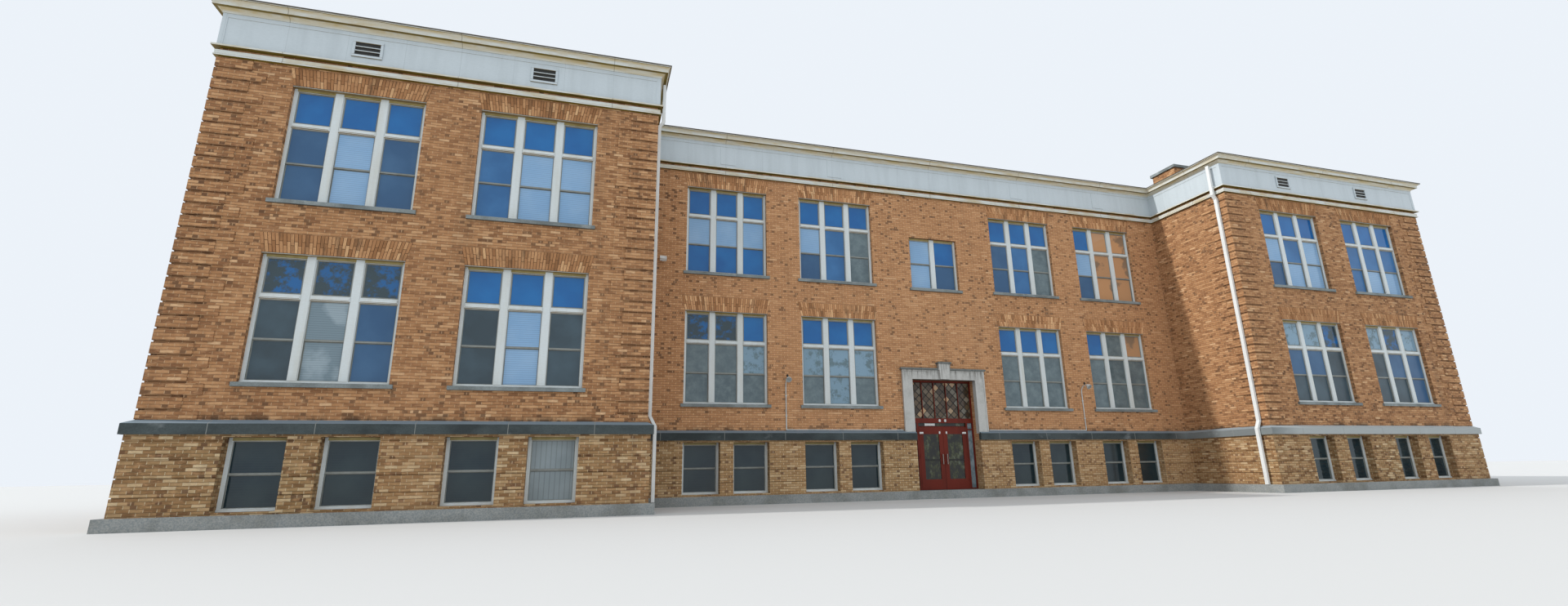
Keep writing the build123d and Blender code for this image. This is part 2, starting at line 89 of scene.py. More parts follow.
def srgb(*colour):
    """A colour as seen on a screen, 0 to 255, in the shader's linear values."""
    shares = [value / 255 for value in colour]
    return (*(s / 12.92 if s <= 0.04045 else ((s + 0.055) / 1.055) ** 2.4 for s in shares), 1.0)


class Nodes:
    """A node tree in the making, with short ways to add and join its nodes."""

    def __init__(self, tree):
        self.tree = tree
        tree.nodes.clear()

    def join(self, node, socket, value):
        if isinstance(value, bpy.types.NodeSocket):
            self.tree.links.new(value, node.inputs[socket])
        else:
            node.inputs[socket].default_value = value

    def add(self, kind, inputs=None, output=0, **settings):
        node = self.tree.nodes.new("ShaderNode" + kind)
        for setting, value in settings.items():
            setattr(node, setting, value)
        for socket, value in (inputs or {}).items():
            self.join(node, socket, value)
        return node.outputs[output]

    def end(self, kind, surface):
        self.join(self.tree.nodes.new("ShaderNode" + kind), "Surface", surface)

    def math(self, operation, *values):
        return self.add("Math", dict(enumerate(values)), operation=operation)

    def mix(self, share, first, second, blend="MIX"):
        """Two colours by a share. A colour of three numbers is as seen on a screen."""
        first, second = (srgb(*colour) if isinstance(colour, tuple) and len(colour) == 3 else colour
                         for colour in (first, second))
        return self.add("Mix", {0: share, 6: first, 7: second}, output=2, data_type="RGBA",
                        blend_type=blend, clamp_factor=True)


for word, operation in (("times", "MULTIPLY"), ("over", "DIVIDE"), ("plus", "ADD"),
                        ("minus", "SUBTRACT"), ("above", "GREATER_THAN"), ("below", "LESS_THAN"),
                        ("most", "MAXIMUM"), ("least", "MINIMUM"), ("absolute", "ABSOLUTE"),
                        ("nearest", "ROUND"), ("floor", "FLOOR"), ("fraction", "FRACT")):
    setattr(Nodes, word, partialmethod(Nodes.math, operation))


class Look(Nodes):
    """A material in the making, which knows its place on the building and where it faces."""

    def __init__(self, name, roughness=0.8, specular=0.3, metallic=0.0):
        self.material = bpy.data.materials.new(name)
        self.material.use_nodes = True
        super().__init__(self.material.node_tree)
        shaded = self.add("BsdfPrincipled", {"Roughness": roughness, "Metallic": metallic,
                                             "Specular IOR Level": specular}, output="BSDF")
        self.shader = shaded.node
        self.end("OutputMaterial", shaded)
        self.place = self.add("TexCoord", output="Object")
        self.x, self.y, self.z = self.split(self.place)
        facing = self.split(self.add("NewGeometry", output="Normal"))
        self.facing_x = self.absolute(facing[0])
        self.facing_y = self.absolute(facing[1])
        self.facing_z = facing[2]

    def split(self, vector):
        return self.add("SeparateXYZ", {0: vector}).node.outputs

    def span(self, value, low, high, to_low=0.0, to_high=1.0):
        return self.add("MapRange", {0: value, 1: low, 2: high, 3: to_low, 4: to_high})

    def noise(self, scale, detail=3.0, stretch=(1, 1, 1), roughness=0.5):
        placed = self.add("Mapping", {"Vector": self.place, "Scale": stretch})
        return self.add("TexNoise", {"Vector": placed, "Scale": scale, "Detail": detail,
                                     "Roughness": roughness})

    def chance(self, x, y, z):
        """A chance number for each place of a grid."""
        place = self.add("CombineXYZ", {0: x, 1: y, 2: z})
        return self.add("TexWhiteNoise", {"Vector": place}, "Value", noise_dimensions="3D")

    def ramp(self, value, *stops):
        """A colour by value, from stops that each hold a position, red, green and blue."""
        ramped = self.add("ValToRGB", {0: value})
        elements = ramped.node.color_ramp.elements
        while len(elements) < len(stops):
            elements.new(1.0)
        for element, (position, *colour) in zip(elements, stops):
            element.position = position
            element.color = srgb(*colour)
        return ramped

    def tone(self):
        """The tone that each face carries."""
        return self.add("Attribute", output="Fac", attribute_name="tone")

    def off_middle(self, share):
        return self.absolute(self.minus(share, 0.5))

    def along(self):
        """The level distance along a wall, whichever way it faces."""
        sideways = self.above(self.facing_x, squarely)
        lengthwise = self.minus(1.0, sideways)
        return self.plus(self.times(self.y, sideways), self.times(self.x, lengthwise))

    def blend(self, colour, tint, value, low, high, share=1.0):
        """The colour with a tint that sets in as a value goes from low to high, up to its share."""
        return self.mix(self.span(value, low, high, 0.0, share), colour, tint)

    def tinted(self, colour, tint, where, strength):
        """The colour with a tint where a mask is, by its strength."""
        return self.mix(self.times(where, strength), colour, tint)

    def mottled(self, pattern, share, first, second):
        """The first colour with soft spots of the second, up to its share."""
        return self.blend(first, second, pattern, 0.35, 0.65, share)

    def soiled(self, colour, dirt, low, high, scale, share, stretch=(1, 1, 1)):
        """The colour with patches of dirt."""
        return self.blend(colour, dirt, self.noise(scale, 5.0, stretch, 0.6), low, high, share)

    def painted_undersides(self, colour, tint, share):
        """The colour with a tint of painted shade and bounced ground light on faces that look down.
        """
        return self.blend(colour, tint, self.facing_z, -0.3, -0.9, share)

    def done(self, colour, height=None, distance=0.0, strength=0.0):
        """The material, with its colour, and its relief if it has any."""
        self.join(self.shader, "Base Color", colour)
        if height:
            relief = {"Height": height, "Distance": distance, "Strength": strength}
            self.join(self.shader, "Normal", self.add("Bump", relief, "Normal"))
        return self.material


def brick_grid(look, length, seed):
    """Courses of bricks: 1 off the bed joints, 1 off the upright ones, a chance number each."""
    rise = look.over(look.z, course)
    row, level = look.floor(rise), look.fraction(rise)
    shift = look.fraction(look.times(row, 0.5))
    place = look.plus(look.over(look.along(), length), shift)
    column, reach = look.floor(place), look.fraction(place)

    def to_joint(share, size):
        return look.times(look.minus(0.5, look.off_middle(share)), size)

    off_bed = look.span(to_joint(level, course), joint * 0.3, joint * 0.7)
    off_perpend = look.span(to_joint(reach, length), joint * 0.4, joint * 0.9)
    return off_bed, off_perpend, look.chance(column, row, seed)


BRICK_TONES = ((0.0, 116, 78, 52), (0.2, 148, 105, 71), (0.55, 168, 123, 84), (0.85, 184, 139, 98),
               (0.97, 200, 158, 116), (1.0, 216, 180, 140))
# The first two stops, for tone 0, colour the backing between the arch bricks as painted shade of the
# gaps.
ARCH_TONES = ((0.0, 62, 44, 32), (0.06, 62, 44, 32), (0.1, 134, 94, 62), (0.3, 158, 114, 76),
              (0.6, 172, 127, 88), (0.9, 190, 146, 104), (1.0, 208, 168, 124))
BASEMENT_TONES = ((0.0, 98, 74, 48), (0.25, 134, 106, 70), (0.6, 154, 128, 90),
                  (0.85, 176, 152, 114), (1.0, 206, 188, 152))
# Bed joints: the mortar darkened with painted shade of the raked joints. Upright joints: the pale
# mortar.
SHADED_BED, PERPEND = (122, 92, 66), (196, 164, 128)


def inside_rooms(look):
    """1 on the rooms' side of the walls, 0 outside."""
    depth = wall - 0.02
    x, y = look.absolute(look.x), look.absolute(look.y)
    lengthwise = look.below(x, half_length - depth)
    wing = look.times(look.above(x, centre_half + depth), lengthwise)
    wing = look.times(wing, look.below(y, wing_face - depth))
    centre = look.times(lengthwise, look.below(y, centre_face - depth))
    return look.times(look.most(wing, centre), look.below(look.z, roof_top))


def band_shadow(look):
    """1 in the recessed joints between the corner bands, else 0."""
    step = look.over(look.minus(look.z, bands_foot), band_pitch)
    off = look.absolute(look.minus(step, look.nearest(step)))
    level = look.below(off, band_joint / 2 / band_pitch)
    x, y = look.absolute(look.x), look.absolute(look.y)

    def near(distance, facing):
        return look.times(look.below(distance, short_band), look.above(facing, squarely))

    from_side = look.least(look.minus(x, centre_half), look.minus(half_length, x))
    corner = look.most(near(from_side, look.facing_y),
                       near(look.minus(wing_face, y), look.facing_x))
    on_wing = look.above(y, centre_face + 1.0)
    return look.times(level, look.times(corner, on_wing))


def on_middle_block(look):
    """1 on the middle block between the wings, else 0."""
    near = look.below(look.absolute(look.y), centre_face + 0.2)
    return look.times(near, look.below(look.absolute(look.x), centre_half))


def painted_middle_light(look, middle, colour):
    """The colour made paler on the middle block between the wings, as painted light."""
    painted_light_gain = (1.24, 1.26, 1.3, 1.0)
    return look.mix(middle, colour, look.mix(1.0, colour, painted_light_gain, "MULTIPLY"))


def brickwork(name, tones, shaded_bed, perpend, seed, bands=False, rooms=False):
    """Rough bricks in a running bond, with soot, pale patches and a few dark headers."""
    look = Look(name, roughness=0.88, specular=0.2)
    off_bed, off_perpend, tone = brick_grid(look, brick_length, seed)
    _, _, dark = brick_grid(look, brick_length / 2, seed + 1.5)
    dark_share = 0.07
    grain = look.noise(22.0, 4.0, (1, 1, 2.5))
    scoring_and_highlights = look.noise(11.0, 5.0, (1, 1, 8), 0.75)
    middle = on_middle_block(look)
    bricks = look.ramp(tone, *tones)
    bricks = look.tinted(bricks, look.ramp(0.5, *tones), middle, 0.5)
    bricks = look.mottled(grain, 0.35, bricks, (116, 78, 50))
    # Pale thin level streaks: painted highlights on the lit lower edges of the rough bricks.
    bricks = look.blend(bricks, (216, 174, 128), scoring_and_highlights, 0.54, 0.68, 0.55)
    bricks = look.blend(bricks, (84, 60, 44), dark, 1.0 - dark_share, 1.001 - dark_share, 0.85)
    colour = look.mix(off_perpend, look.blend(bricks, perpend, scoring_and_highlights, 0.3, 0.6), bricks)
    # Bed joints take the mortar colour with painted shade.
    colour = look.mix(off_bed, shaded_bed, colour)
    patches = look.noise(5.5, 4.0, (1, 1, 2.5), 0.6)
    spread = look.span(middle, 0.0, 1.0, 0.38, 0.1)
    colour = look.tinted(colour, (206, 162, 120), look.span(patches, 0.52, 0.7), spread)
    colour = look.tinted(colour, (108, 74, 48), look.span(patches, 0.48, 0.3), spread)
    broad = look.span(look.noise(0.28, 4.0), 0.3, 0.7)
    colour = look.tinted(colour, (178, 134, 96), broad, 0.25)
    streaks = look.noise(1.0, 4.0, (2.2, 2.2, 0.25))
    colour = look.blend(colour, (82, 66, 52), streaks, 0.58, 0.8, 0.3)
    # The middle block is made paler with painted light.
    colour = painted_middle_light(look, middle, colour)
    height = look.plus(look.times(off_bed, off_perpend), look.times(grain, 0.6))
    if bands:
        colour = look.tinted(colour, (58, 40, 28), band_shadow(look), 0.5)
        foot = look.times(look.span(look.z, belt_top, belt_top + 0.15, 1.0, 0.0),
                          look.above(look.z, belt_top - 0.03))
        stains = look.span(look.noise(2.2, 5.0, (1, 1, 0.4), 0.7), 0.46, 0.58, 0.0, 0.85)
        colour = look.tinted(colour, (52, 42, 34), foot, stains)
    if rooms:
        colour = look.mix(inside_rooms(look), colour, (214, 208, 194))
    # Faces that look down, such as the corner bands' undersides, get painted shade.
    return look.done(look.painted_undersides(colour, (66, 46, 32), 0.5), height, 0.006, 0.9)


def toned_bricks(name, tones):
    """Bricks that carry their own tone, made one by one."""
    look = Look(name, roughness=0.88, specular=0.2)
    grain = look.noise(24.0, 4.0, (2.5, 2.5, 1))
    colour = look.mottled(grain, 0.3, look.ramp(look.tone(), *tones), (122, 82, 54))
    soot = look.noise(2.2, 5.0, (2.5, 2.5, 0.6), 0.65)
    colour = look.blend(colour, (84, 66, 50), soot, 0.52, 0.7, 0.65)
    # The middle block is made paler with painted light.
    colour = painted_middle_light(look, on_middle_block(look), colour)
    # Faces that look down, the arch soffits, get an olive tint: painted shade and light bounced up
    # from the ground.
    return look.done(look.painted_undersides(colour, (122, 104, 52), 0.6), grain, 0.005, 0.8)


def seams(look, spacing, half_width):
    """1 in the upright joints of lengths laid end to end, else 0."""
    reach = look.fraction(look.over(look.along(), spacing))
    share = half_width / spacing
    return look.span(look.off_middle(reach), 0.5 - share, 0.5 - 0.5 * share)


def cut_stone(name, face, dirt, share, pale, spacing=0.0, stretch=(1, 1, 1), wash=None):
    """Sawn stone with blotches of dirt and pale patches, a paler top where it has a wash, painted
    shade on its undersides, and joints where laid in lengths.
    """
    look = Look(name)
    grain = look.noise(45.0)
    colour = look.mottled(grain, 0.3, face, dirt)
    colour = look.soiled(colour, dirt, 0.42, 0.62, 1.4, share, stretch)
    colour = look.soiled(colour, (178, 184, 186), 0.6, 0.74, 2.3, pale, stretch)
    height = grain
    if wash:
        colour = look.blend(colour, wash, look.facing_z, 0.2, 0.6, 0.85)
        # Paler from the middle block towards the right wing.
        start, end = centre_half - 1.0, centre_half + 1.0
        colour = look.blend(colour, (172, 178, 178), look.x, start, end, 0.8)
    if spacing:
        seam = seams(look, spacing, 0.008)
        colour = look.mix(seam, colour, (134, 136, 132))
        height = look.minus(grain, seam)
    # Faces that look down get painted shade.
    return look.done(look.painted_undersides(colour, (60, 58, 46), 0.75), height, 0.004, 0.7)


def entrance_stone():
    """Pale stone with dark caps, and dark runs of water under them."""
    look = Look("entrance_stone")
    grain = look.noise(40.0)
    colour = look.mottled(grain, 0.3, (186, 186, 182), (146, 148, 146))
    colour = look.soiled(colour, (124, 124, 120), 0.5, 0.7, 1.6, 0.45)
    runs = look.span(look.noise(5.0, 4.0, (2.5, 2.5, 0.25), 0.6), 0.48, 0.66)
    height = look.span(look.z, lintel_top - 0.55, lintel_top - 0.07)
    colour = look.tinted(colour, (84, 80, 72), look.times(runs, height), 0.75)
    beside = look.above(look.absolute(look.x), keystone_box[1].x - 0.033)
    cap = look.times(beside, look.above(look.z, lintel_top - 0.062))
    cap = look.most(cap, look.above(look.z, keystone_box[1].z - 0.052))
    colour = look.tinted(colour, (84, 90, 88), cap, 0.85)
    # Faces that look down get painted shade.
    return look.done(look.painted_undersides(colour, (58, 56, 46), 0.6), grain, 0.004, 0.7)


def oil_paint(name, paint, dirt, painted_under_tint, share, specular=0.35, boards=0.0):
    """Brushed paint on timber with patches of dirt, painted shade and bounced ground light on its
    undersides, and board joints if it has any.
    """
    look = Look(name, roughness=0.45, specular=specular)
    brush = look.noise(14.0, 3.0, (1, 1, 6))
    colour = look.mottled(brush, 0.12, paint, dirt)
    colour = look.soiled(colour, dirt, 0.45, 0.75, 0.9, share, (4, 4, 0.5))
    height = brush
    if boards:
        seam = seams(look, boards, 0.007)
        colour = look.tinted(colour, dirt, seam, 0.35)
        height = look.minus(brush, seam)
    # Faces that look down get the under tint: painted shade and light bounced up from the ground.
    return look.done(look.painted_undersides(colour, painted_under_tint, 0.9), height, 0.002, 0.5)


def moulding_paint(name):
    """Old cornice paint: grey on its upright faces, with tan painted shade in the coves and an olive
    painted light bounced from the ground under the soffits.
    """
    look = Look(name, roughness=0.5)
    wear = look.noise(1.6, 5.0, (1, 1, 2.5), 0.6)
    grey = look.blend((200, 204, 200), (186, 172, 138), wear, 0.4, 0.7)
    painted_cove_shade = look.blend((190, 172, 132), (204, 202, 190), wear, 0.42, 0.66)
    painted_soffit_bounce = look.blend((118, 100, 34), (96, 74, 30), wear, 0.4, 0.7)
    # Faces that look down get painted shade in tan, and the soffits an olive painted bounce light.
    colour = look.blend(grey, painted_cove_shade, look.facing_z, -0.3, -0.75)
    colour = look.blend(colour, painted_soffit_bounce, look.facing_z, -0.93, -0.99)
    colour = look.blend(colour, (104, 92, 76), look.facing_z, 0.3, 0.8, 0.8)
    seam = seams(look, 3.66, 0.012)
    colour = look.tinted(colour, (96, 82, 56), seam, 0.5)
    return look.done(colour, look.minus(look.noise(16.0), seam), 0.002, 0.5)


def window_pane(name, tint, patches, share, low=0.4, high=0.65, slats=0.0, roughness=0.08,
                fine=False, upright=False):
    """A window pane: its glass with what is seen in it, as one tinted glossy sheet; some kinds carry
    a painted reflection.
    """
    look = Look(name, roughness=roughness, specular=0.5)
    blotches = look.noise(3.5, 6.0, roughness=0.7) if fine else look.noise(1.3, 4.0)
    colour = look.blend(tint, patches, blotches, low, high, share)
    colour = look.blend(colour, patches, look.tone(), 0.0, 1.0, 0.25)
    if slats:
        level = look.fraction(look.over(look.along() if upright else look.z, slats))
        colour = look.blend(colour, (40, 50, 58), level, 0.75, 0.95, 0.35)
    return look.done(colour)


def screen_glass():
    """The entrance's glass: leaded panes over dark door lights with painted reflections, and grey
    sidelights.
    """
    look = Look("screen_glass", roughness=0.12, specular=0.5)
    transom_foot, sidelight_start = 2.45, 0.92
    rising = look.floor(look.over(look.plus(look.x, look.z), lead_pitch))
    falling = look.floor(look.over(look.minus(look.x, look.z), lead_pitch))
    leaded = look.ramp(look.chance(rising, falling, 4.0), (0.0, 54, 42, 30), (0.45, 78, 62, 44),
                       (0.7, 98, 82, 60), (0.88, 106, 102, 90), (0.97, 176, 144, 108))
    blotches = look.noise(6.0, 5.0, (1, 1, 0.7), 0.7)
    # Dark door glass with olive and grey patches of painted reflection.
    dark = look.ramp(blotches, (0.42, 14, 14, 10), (0.52, 32, 34, 16), (0.6, 62, 66, 34),
                     (0.72, 96, 104, 98))
    in_transom = look.above(look.z, transom_foot)
    at_side = look.times(look.above(look.absolute(look.x), sidelight_start),
                         look.minus(1.0, in_transom))
    grey = look.blend((100, 118, 126), (138, 152, 158), blotches, 0.4, 0.6)
    return look.done(look.mix(at_side, look.mix(in_transom, dark, leaded), grey))


def plain_metal(name, paint, dirt, metallic=0.0, roughness=0.5, share=0.3):
    look = Look(name, roughness, 0.4, metallic)
    colour = look.soiled(paint, dirt, 0.5, 0.75, 2.0, share, (3, 3, 0.6))
    return look.done(colour, look.noise(40.0, 2.0), 0.001, 0.4)


def roofing():
    """Felt in lapped strips under fine gravel."""
    look = Look("roof_felt", roughness=0.95, specular=0.15)
    grit = look.noise(55.0, 4.0)
    colour = look.mottled(grit, 1.0, (92, 90, 88), (132, 128, 122))
    strip = 0.95
    seam = look.span(look.fraction(look.over(look.x, strip)), 0.95, 0.99)
    colour = look.tinted(colour, (58, 57, 56), seam, 0.6)
    colour = look.soiled(colour, (70, 70, 66), 0.5, 0.7, 0.25, 0.6)
    return look.done(colour, look.plus(grit, seam), 0.008, 0.8)


def rubbed_concrete():
    look = Look("rubbed_concrete", roughness=0.9, specular=0.2)
    grit = look.noise(35.0, 4.0)
    colour = look.mottled(grit, 1.0, (122, 128, 130), (150, 152, 148))
    colour = look.soiled(colour, (84, 84, 76), 0.45, 0.7, 0.9, 0.6)
    return look.done(colour, grit, 0.004, 0.7)


LOOKS = {
    "main_brick": brickwork("main_brickwork", BRICK_TONES, SHADED_BED, PERPEND, 0.0, True, True),
    "corner_brick": brickwork("corner_brickwork", BRICK_TONES, SHADED_BED, PERPEND, 7.0),
    "basement_brick": brickwork("basement_brickwork", BASEMENT_TONES, (110, 92, 66),
                                (204, 188, 156), 3.0, rooms=True),
    "arch_brick": toned_bricks("arch_bricks", ARCH_TONES),
    "surround_stone": entrance_stone(),
    "concrete": rubbed_concrete(),
    "roof": roofing(),
    "window_glass": screen_glass(),
}
# The third colour of each oil paint is its undersides' tint: painted shade and bounced ground light.
for maker, slot, *values in (
        (cut_stone, "belt_stone", (72, 81, 82), (38, 44, 45), 0.7, 0.25, 1.83, (0.6, 0.6, 1),
         (116, 130, 140)),
        (cut_stone, "sill_stone", (134, 142, 142), (76, 80, 78), 0.55, 0.5),
        (oil_paint, "frieze_paint", (188, 198, 203), (146, 156, 160), (124, 104, 52), 0.25, 0.35,
         1.22),
        (moulding_paint, "cornice_paint"),
        (oil_paint, "window_paint", (200, 208, 210), (168, 160, 136), (122, 92, 14), 0.35),
        (oil_paint, "entrance_paint", (106, 34, 20), (58, 24, 14), (44, 20, 12), 0.5, 0.2),
        (plain_metal, "coping_metal", (86, 80, 70), (50, 52, 54), 0.2, 0.6, 0.6),
        (plain_metal, "pipe_paint", (214, 217, 216), (158, 156, 148), 0.0, 0.45),
        (plain_metal, "lamp_metal", (190, 196, 196), (96, 92, 86)),
        (plain_metal, "pull_metal", (170, 168, 162), (96, 92, 86), 1.0, 0.3)):
    LOOKS[slot] = maker(slot, *values)
# A darker copy of the window paint for the sashes set back in the frame: painted shade of the recess.
SHADED_SASH_PAINT = oil_paint("shaded_sash_paint", (132, 136, 132), (84, 84, 74), (78, 70, 48), 0.45)
# A tan copy of the window paint for the head soffits: painted shade and light bounced up from the
# ground.
HEAD_SOFFIT_SHADE_PAINT = oil_paint("head_soffit_shade_paint", (160, 146, 96), (112, 94, 40), (112, 88, 20), 0.6)
DARK_METAL = plain_metal("dark_metal", (34, 34, 32), (60, 54, 46))
PALE_METAL = plain_metal("pale_metal", (206, 208, 206), (140, 138, 130), 0.0, 0.45)

# A letter for each kind of window pane; s, t and h are painted reflections of sky and leaves, o of a
# wall
PANES = {
    "s": window_pane("painted_sky_reflection_pane", (0, 84, 146), (20, 106, 168), 0.6),
    "t": window_pane("painted_leafy_sky_reflection_pane", (16, 92, 152), (50, 62, 58), 0.9, 0.42, 0.52, fine=True),
    "b": window_pane("blue_screen_pane", (30, 88, 138), (54, 112, 164), 0.7, roughness=0.3),
    "d": window_pane("screened_pane", (36, 78, 116), (56, 96, 132), 0.7, roughness=0.3),
    "n": window_pane("dark_pane", (42, 58, 66), (66, 88, 100), 0.6, roughness=0.3),
    "g": window_pane("grey_shade_pane", (76, 92, 98), (110, 126, 130), 0.7, fine=True),
    "h": window_pane("painted_hazy_sky_reflection_pane", (122, 152, 172), (84, 104, 108), 0.8, 0.5, 0.6, fine=True),
    "q": window_pane("grey_blind_pane", (96, 116, 126), (146, 162, 170), 0.8, 0.5, 0.6, 0.05),
    "p": window_pane("pale_shade_pane", (120, 158, 194), (140, 172, 202), 0.6, slats=0.05),
    "o": window_pane("painted_wall_reflection_pane", (188, 142, 102), (104, 96, 86), 0.7, 0.55, 0.6),
    "v": window_pane("slatted_pane", (10, 36, 46), (38, 56, 60), 0.7, slats=0.05),
    "w": window_pane("pale_blind_pane", (134, 146, 150), (110, 122, 126), 0.6, slats=0.11,
                     upright=True),
}


def mesh_of(name, made):
    mesh = bpy.data.meshes.new(name)
    made.to_mesh(mesh)
    made.free()
    return mesh


def put(name, data):
    """A new object in the scene."""
    item = bpy.data.objects.new(name, data)
    bpy.context.scene.collection.objects.link(item)
    return item


def new_piece(name, made, slot, materials=None, rides="building"):
    """Turn a finished bmesh into a piece that rides on a body."""
    mesh = mesh_of(name, made)
    for material in materials or [LOOKS[slot]]:
        mesh.materials.append(material)
    piece = put(name, mesh)
    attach(piece, rides)
    return piece


def add_box(made, low, high):
    """A box between two corners."""
    low, high = Vector(low), Vector(high)
    size, middle = high - low, (high + low) / 2
    place = Matrix.Translation(middle) @ Matrix.Diagonal((*size, 1.0))
    return bmesh.ops.create_cube(made, size=1.0, matrix=place)["verts"]


def box_between(made, across, deep, up):
    """A box from a pair of values along each axis, in either order."""
    return add_box(made, *zip(sorted(across), sorted(deep), sorted(up)))


def faces_of(verts):
    return list({face for vert in verts for face in vert.link_faces})


def soften(made, verts, width):
    """Take off all the edges between these vertices."""
    edges = list({edge for vert in verts for edge in vert.link_edges})
    bmesh.ops.bevel(made, geom=edges, offset=width, offset_type="OFFSET", affect="EDGES",
                    segments=1, profile=0.5, material=-1, clamp_overlap=True)


def move(made, verts, matrix):
    bmesh.ops.transform(made, matrix=matrix, verts=verts)


def stamp(made, mesh, matrix):
    """Copy a mesh into the bmesh at a place."""
    before = len(made.verts)
    made.from_mesh(mesh)
    made.verts.ensure_lookup_table()
    move(made, made.verts[before:], matrix)


def facing_out(made):
    bmesh.ops.recalc_face_normals(made, faces=made.faces[:])
    return made


def copy_of(node):
    """A bmesh of a CAD node with its loose triangles joined."""
    made = bmesh.new()
    made.from_mesh(frame["nodes"][node].data)
    bmesh.ops.remove_doubles(made, verts=made.verts[:], dist=0.0001)
    return made


def extent(verts):
    """The two corners of the box round these vertices."""
    places = list(zip(*(vert.co for vert in verts)))
    return Vector(map(min, places)), Vector(map(max, places))


def islands(node):
    """The box of each separate solid of a node, in a fixed order."""
    made = copy_of(node)
    waiting = set(made.verts)
    boxes = []
    while waiting:
        group = [waiting.pop()]
        for vert in group:
            beyond = {edge.other_vert(vert) for edge in vert.link_edges} & waiting
            waiting -= beyond
            group += beyond
        boxes.append(extent(group))
    made.free()
    return sorted(boxes, key=lambda box: tuple(round(value, 3) for value in (*box[0], *box[1])))


class Opening:
    """A flat piece in a wall, seen from outside: x to the right, y inwards, z up from its foot."""

    def __init__(self, box):
        low, high = box
        size, middle = high - low, (high + low) / 2
        self.height, self.middle = size.z, middle
        if size.x > size.y:
            self.side = "front" if middle.y < 0 else "rear"
            self.width, self.depth = size.x, size.y
        else:
            self.side = "left" if middle.x < 0 else "right"
            self.width, self.depth = size.y, size.x
        heading, corner = {
            "front": ((1, 0, 0), low),
            "rear": ((-1, 0, 0), (high.x, high.y, low.z)),
            "left": ((0, -1, 0), (low.x, high.y, low.z)),
            "right": ((0, 1, 0), (high.x, low.y, low.z)),
        }[self.side]
        heading, up = Vector(heading), Vector((0, 0, 1))
        turn = Matrix((heading, up.cross(heading), up)).transposed().to_4x4()
        self.matrix = Matrix.Translation(corner) @ turn


# Window joinery, measured from the frame's front face
casing = 0.06
mullion = 0.17
sub_sill = 0.05
transom_drop = 0.88
transom_bar = 0.11
light_stops = ((0.003, -0.016), (0.008, -0.003), (0.003, -0.014))
fixed_sash = ((0.022, 0.0), (0.003, -0.008), (0.004, -0.004))
sliding_sash = ((0.012, 0.0), (0.003, -0.006))
meeting_rail = 0.032
lower_sash_drop = -0.024
bar_steps = ((0.006, 0.014), (0.014, 0.002), (0.006, 0.012))
head_board = 0.012
frame_depth = 0.12
trim_depth = 0.0265


def inset(made, faces, steps, tool=bmesh.ops.inset_individual):
    """Step faces in by pairs of width and depth, each by itself or all as one with inset_region."""
    for thickness, depth in steps:
        tool(made, faces=faces, thickness=thickness, depth=depth, use_even_offset=True)


def middle_of(face):
    return face.calc_center_median()


